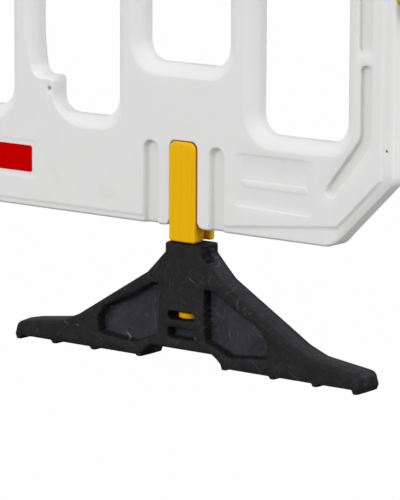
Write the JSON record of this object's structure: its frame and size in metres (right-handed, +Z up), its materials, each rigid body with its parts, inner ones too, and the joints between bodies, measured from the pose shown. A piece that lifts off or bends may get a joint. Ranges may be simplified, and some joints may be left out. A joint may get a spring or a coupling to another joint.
{
  "type": "crowd control barrier",
  "caption": "Free-standing plastic pedestrian barrier: hollow windowed panel in two clamps on swivelling rubber feet, with reflective films and end couplings.",
  "frame": {"origin": "on the ground under the middle of the panel", "axes": "+X along the panel towards the peg end, +Y towards the back, +Z up"},
  "size_m": [2.093, 0.0472, 1],
  "materials": {
    "panel_white": "satin moulded polyethylene",
    "film_red": "smooth reflective film",
    "clamp_yellow": "satin moulded plastic",
    "foot_rubber": "dusty recycled rubber",
    "screw_steel": "zinc plated"
  },
  "bodies": {
    "barrier": {"barrier_panel": "panel_white", "film_front_lower_1": "film_red", "film_front_lower_2": "film_red", "film_front_upper_1": "film_red", "film_front_upper_2": "film_red", "film_front_upper_3": "film_red", "film_back_lower_1": "film_red", "film_back_lower_2": "film_red", "film_back_upper_1": "film_red", "film_back_upper_2": "film_red", "film_back_upper_3": "film_red", "foot_clamp_left": "clamp_yellow", "foot_clamp_right": "clamp_yellow", "coupling_peg_lower": "clamp_yellow", "coupling_peg_upper": "clamp_yellow", "coupling_eye_lower": "clamp_yellow", "coupling_eye_upper": "clamp_yellow", "coupling_screw_right_lower_1": "screw_steel", "coupling_screw_right_lower_2": "screw_steel", "coupling_screw_right_upper_1": "screw_steel", "coupling_screw_right_upper_2": "screw_steel", "coupling_screw_left_lower_1": "screw_steel", "coupling_screw_left_lower_2": "screw_steel", "coupling_screw_left_upper_1": "screw_steel", "coupling_screw_left_upper_2": "screw_steel"},
    "left_foot": {"foot_left": "foot_rubber"},
    "right_foot": {"foot_right": "foot_rubber"}
  },
  "joints": [
    {"name": "foot_left_swivel", "type": "hinge", "parent": "barrier", "child": "left_foot", "pos_m": [-0.6608, 0, 0.1], "axis": [0, 0, 1], "range_deg": [-90, 90]},
    {"name": "foot_right_swivel", "type": "hinge", "parent": "barrier", "child": "right_foot", "pos_m": [0.6608, 0, 0.1], "axis": [0, 0, 1], "range_deg": [-90, 90]}
  ]
}
